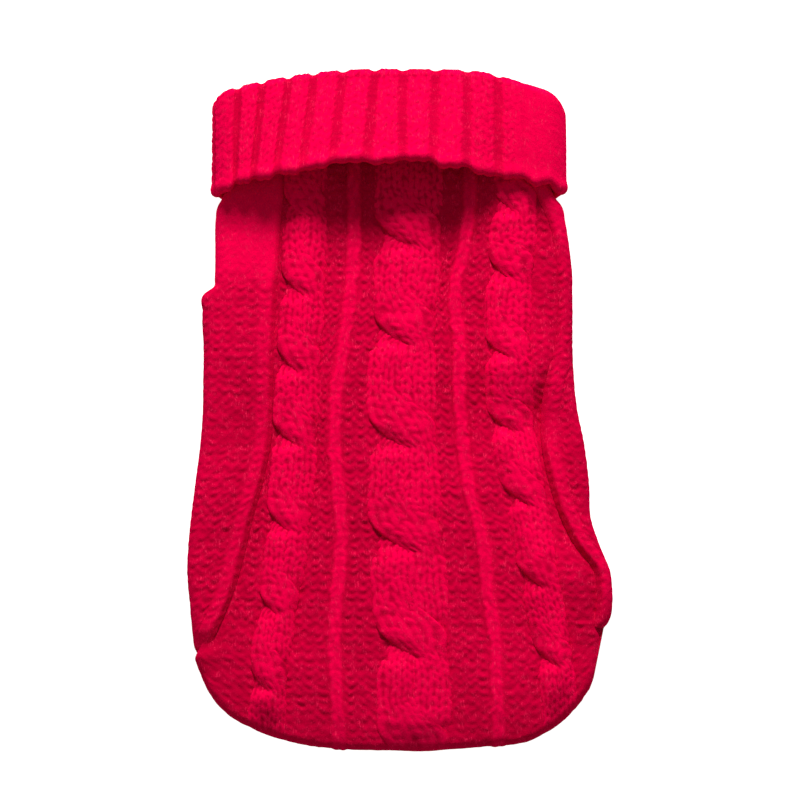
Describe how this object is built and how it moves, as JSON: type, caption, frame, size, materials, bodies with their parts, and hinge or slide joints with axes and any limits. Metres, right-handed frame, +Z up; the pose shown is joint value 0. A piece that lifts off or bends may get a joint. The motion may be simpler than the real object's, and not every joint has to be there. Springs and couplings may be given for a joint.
{
  "type": "dog sweater",
  "caption": "Small dog's chunky cable-knit sweater with a turned-down ribbed turtleneck, a long rounded back, side seams and leg openings underneath, lying flat with its back up.",
  "frame": {"origin": "centre of the flat garment's bounding box, on the surface that it rests on", "axes": "+Y runs to the collar along the wearer's back, +Z points up out of the back, +X is the wearer's right"},
  "size_m": [0.1702, 0.2758, 0.0287],
  "materials": {
    "body_wool": "fuzzy crimson wool, cabled and purl knit",
    "rib_wool": "fuzzy crimson wool, two by two rib"
  },
  "bodies": {
    "root": {"back_panel": "body_wool", "belly_panel": "body_wool", "collar": "rib_wool", "left_leg_band": "rib_wool", "right_leg_band": "rib_wool"}
  },
  "joints": []
}
